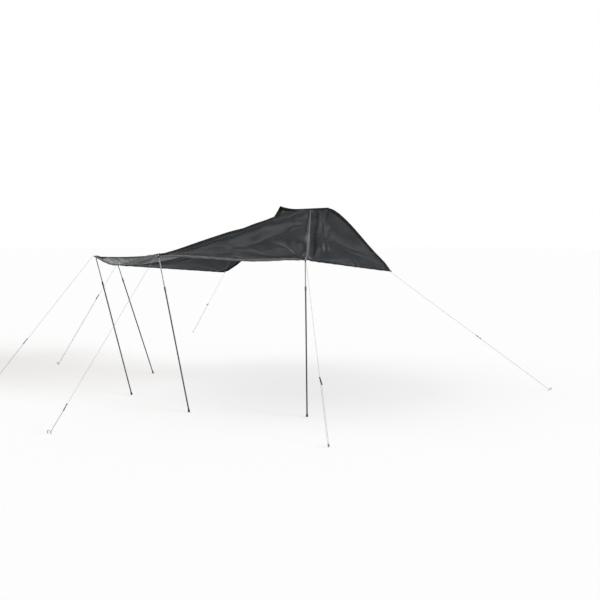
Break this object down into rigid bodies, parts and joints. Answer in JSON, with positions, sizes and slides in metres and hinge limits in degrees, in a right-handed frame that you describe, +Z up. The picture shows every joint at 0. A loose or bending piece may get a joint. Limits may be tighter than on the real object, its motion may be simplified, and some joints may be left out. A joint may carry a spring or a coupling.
{
  "type": "rooftop awning",
  "caption": "Roof-mounted awning: a shaped dark cloth fly on an edge bead, held up by telescopic poles and guyed out with cords, sliding runners and hooked pegs.",
  "frame": {"origin": "middle of the fly's inner edge, on the bead's centre line; the ground lies 2.477 m below it", "axes": "+X along the inner edge towards the front, -Y out over the sheltered ground, +Z up"},
  "size_m": [7.8948, 5.6629, 2.7401],
  "materials": {
    "charcoal_cloth": "woven polyester, coated, matt",
    "black_tape": "welded cover over a round core",
    "nickel": "nickel plate, bright",
    "bright_steel": "zinc plate, bright",
    "black_plastic": "moulded, fine texture",
    "satin_aluminium": "satin, drawn lengthwise",
    "grey_anodised": "dark grey anodising, satin",
    "black_rubber": "moulded rubber, matt",
    "pale_cord": "braided polyester",
    "galvanised_steel": "galvanised, satin"
  },
  "bodies": {
    "fly": {"canopy": "charcoal_cloth", "rail_bead": "black_tape", "wing_front_grommet": "nickel", "side_front_grommet": "nickel", "outer_front_grommet": "nickel", "outer_rear_grommet": "nickel", "side_rear_grommet": "nickel", "wing_rear_grommet": "nickel", "wing_front_guy_line": "pale_cord", "side_front_guy_line": "pale_cord", "outer_front_guy_line": "pale_cord", "outer_rear_guy_line": "pale_cord", "side_rear_guy_line": "pale_cord", "wing_rear_guy_line": "pale_cord", "wing_front_peg": "galvanised_steel", "side_front_peg": "galvanised_steel", "outer_front_peg": "galvanised_steel", "outer_rear_peg": "galvanised_steel", "side_rear_peg": "galvanised_steel", "wing_rear_peg": "galvanised_steel"},
    "outer_front_upper_section": {"outer_front_spigot": "bright_steel", "outer_front_top_plug": "black_plastic", "outer_front_upper_tube": "satin_aluminium", "outer_front_guide_bush": "black_plastic"},
    "outer_front_lower_section": {"outer_front_lower_tube": "grey_anodised", "outer_front_foot": "black_rubber"},
    "outer_front_twist_collar": {"outer_front_collar": "black_plastic"},
    "outer_rear_upper_section": {"outer_rear_spigot": "bright_steel", "outer_rear_top_plug": "black_plastic", "outer_rear_upper_tube": "satin_aluminium", "outer_rear_guide_bush": "black_plastic"},
    "outer_rear_lower_section": {"outer_rear_lower_tube": "grey_anodised", "outer_rear_foot": "black_rubber"},
    "outer_rear_twist_collar": {"outer_rear_collar": "black_plastic"},
    "side_front_upper_section": {"side_front_spigot": "bright_steel", "side_front_top_plug": "black_plastic", "side_front_upper_tube": "satin_aluminium", "side_front_guide_bush": "black_plastic"},
    "side_front_lower_section": {"side_front_lower_tube": "grey_anodised", "side_front_foot": "black_rubber"},
    "side_front_twist_collar": {"side_front_collar": "black_plastic"},
    "side_rear_upper_section": {"side_rear_spigot": "bright_steel", "side_rear_top_plug": "black_plastic", "side_rear_upper_tube": "satin_aluminium", "side_rear_guide_bush": "black_plastic"},
    "side_rear_lower_section": {"side_rear_lower_tube": "grey_anodised", "side_rear_foot": "black_rubber"},
    "side_rear_twist_collar": {"side_rear_collar": "black_plastic"},
    "wing_front_tensioner": {"wing_front_runner": "black_plastic"},
    "side_front_tensioner": {"side_front_runner": "black_plastic"},
    "outer_front_tensioner": {"outer_front_runner": "black_plastic"},
    "outer_rear_tensioner": {"outer_rear_runner": "black_plastic"},
    "side_rear_tensioner": {"side_rear_runner": "black_plastic"},
    "wing_rear_tensioner": {"wing_rear_runner": "black_plastic"}
  },
  "joints": [
    {"name": "outer_front_swing", "type": "hinge", "parent": "fly", "child": "outer_front_upper_section", "pos_m": [0.71, -3.006, -0.637], "axis": [-0.9946, 0.1042, 0], "range_deg": [-12, 12]},
    {"name": "outer_front_extend", "type": "slide", "parent": "outer_front_upper_section", "child": "outer_front_lower_section", "axis": [0.0198, 0.1885, -0.9819], "range_m": [-0.332, 0.438]},
    {"name": "outer_front_collar_twist", "type": "hinge", "parent": "outer_front_lower_section", "child": "outer_front_twist_collar", "pos_m": [0.71, -3.006, -0.637], "axis": [0.0198, 0.1885, -0.9819], "range_deg": [-90, 0]},
    {"name": "outer_rear_swing", "type": "hinge", "parent": "fly", "child": "outer_rear_upper_section", "pos_m": [-0.739, -3.006, -0.663], "axis": [-0.8067, 0.5909, 0], "range_deg": [-12, 12]},
    {"name": "outer_rear_extend", "type": "slide", "parent": "outer_rear_upper_section", "child": "outer_rear_lower_section", "axis": [0.1297, 0.1771, -0.9756], "range_m": [-0.317, 0.452]},
    {"name": "outer_rear_collar_twist", "type": "hinge", "parent": "outer_rear_lower_section", "child": "outer_rear_twist_collar", "pos_m": [-0.739, -3.006, -0.663], "axis": [0.1297, 0.1771, -0.9756], "range_deg": [-90, 0]},
    {"name": "side_front_swing", "type": "hinge", "parent": "fly", "child": "side_front_upper_section", "pos_m": [1.992, -1.972, -0.676], "axis": [-0.7813, -0.6241, 0], "range_deg": [-12, 12]},
    {"name": "side_front_extend", "type": "slide", "parent": "side_front_upper_section", "child": "side_front_lower_section", "axis": [-0.0701, 0.0878, -0.9937], "range_m": [-0.271, 0.498]},
    {"name": "side_front_collar_twist", "type": "hinge", "parent": "side_front_lower_section", "child": "side_front_twist_collar", "pos_m": [1.992, -1.972, -0.676], "axis": [-0.0701, 0.0878, -0.9937], "range_deg": [-90, 0]},
    {"name": "side_rear_swing", "type": "hinge", "parent": "fly", "child": "side_rear_upper_section", "pos_m": [-2.018, -1.972, -0.841], "axis": [-0.4088, 0.9126, 0], "range_deg": [-12, 12]},
    {"name": "side_rear_extend", "type": "slide", "parent": "side_rear_upper_section", "child": "side_rear_lower_section", "axis": [0.3098, 0.1388, -0.9406], "range_m": [-0.196, 0.574]},
    {"name": "side_rear_collar_twist", "type": "hinge", "parent": "side_rear_lower_section", "child": "side_rear_twist_collar", "pos_m": [-2.018, -1.972, -0.841], "axis": [0.3098, 0.1388, -0.9406], "range_deg": [-90, 0]},
    {"name": "wing_front_tension", "type": "slide", "parent": "fly", "child": "wing_front_tensioner", "axis": [0.5633, 0.5774, -0.591], "range_m": [-0.02, 1.092]},
    {"name": "side_front_tension", "type": "slide", "parent": "fly", "child": "side_front_tensioner", "axis": [0.3837, -0.2356, -0.8929], "range_m": [-0.02, 0.538]},
    {"name": "outer_front_tension", "type": "slide", "parent": "fly", "child": "outer_front_tensioner", "axis": [-0.1243, -0.529, -0.8395], "range_m": [-0.02, 0.182]},
    {"name": "outer_rear_tension", "type": "slide", "parent": "fly", "child": "outer_rear_tensioner", "axis": [-0.3902, -0.4876, -0.781], "range_m": [-0.02, 0.807]},
    {"name": "side_rear_tension", "type": "slide", "parent": "fly", "child": "side_rear_tensioner", "axis": [-0.5498, -0.2256, -0.8042], "range_m": [-0.02, 1.279]},
    {"name": "wing_rear_tension", "type": "slide", "parent": "fly", "child": "wing_rear_tensioner", "axis": [-0.8189, 0.397, -0.4144], "range_m": [-0.02, 1.715]}
  ]
}
